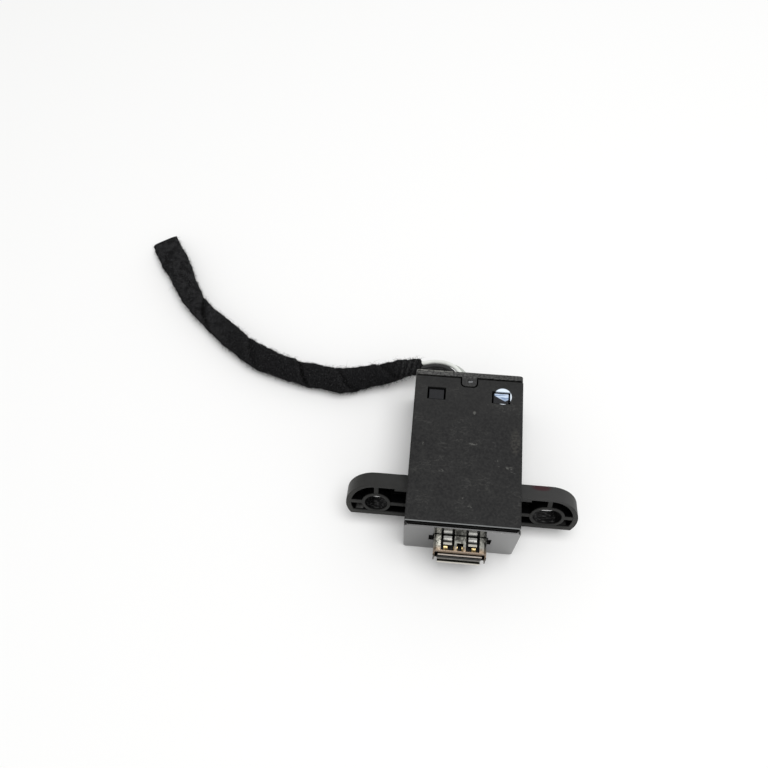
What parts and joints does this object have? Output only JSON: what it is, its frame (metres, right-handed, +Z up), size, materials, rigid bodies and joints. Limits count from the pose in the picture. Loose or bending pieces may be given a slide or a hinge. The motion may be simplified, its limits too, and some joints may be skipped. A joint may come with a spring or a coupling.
{
  "type": "usb connector",
  "caption": "Panel-mount USB socket module: black moulded housing with tilted screw ears, snapped lid and cap, steel socket and a short taped wire loom",
  "frame": {"origin": "middle of the underside of the housing's box, the socket's mouth and the ears included and the loom left out", "axes": "+Z up from the resting face, +X across the housing from ear to ear, the socket's mouth looks along -Y and the wires leave along +Y"},
  "size_m": [0.1302, 0.0977, 0.0195],
  "materials": {
    "housing_plastic": "black injection-moulded plastic, satin gloss",
    "cover_plastic": "black injection-moulded plastic, fine matte grain, light scuffs",
    "cap_plastic": "black injection-moulded plastic, scuffed edge",
    "shell_steel": "stamped steel sheet, bright tin plate",
    "insulator_plastic": "black moulded insulator",
    "contact_gold": "gold-plated contact springs",
    "board_laminate": "green solder mask on laminate",
    "nylon": "natural nylon",
    "tinned_pin": "tinned brass",
    "chip_body": "black moulded component",
    "capacitor_body": "brown fired component with tinned ends",
    "wire_black": "black wire insulation",
    "wire_white": "white wire insulation",
    "wire_grey": "grey wire insulation",
    "fleece_tape": "black fleece harness tape, wound in a helix, fuzzy"
  },
  "bodies": {
    "root": {"lower_housing": "housing_plastic", "top_cover": "cover_plastic", "rear_cap": "cap_plastic", "usb_shell": "shell_steel", "usb_insulator": "insulator_plastic", "contact_1": "contact_gold", "contact_2": "contact_gold", "contact_3": "contact_gold", "contact_4": "contact_gold", "circuit_board": "board_laminate", "board_header": "nylon", "header_pin_1": "tinned_pin", "header_pin_2": "tinned_pin", "header_pin_3": "tinned_pin", "header_pin_4": "tinned_pin", "wire_plug": "nylon", "line_choke": "chip_body", "surge_array": "chip_body", "capacitor_1": "capacitor_body", "capacitor_2": "capacitor_body", "wire_1": "wire_black", "wire_2": "wire_black", "wire_3": "wire_white", "wire_4": "wire_grey", "taped_loom": "fleece_tape"}
  },
  "joints": []
}
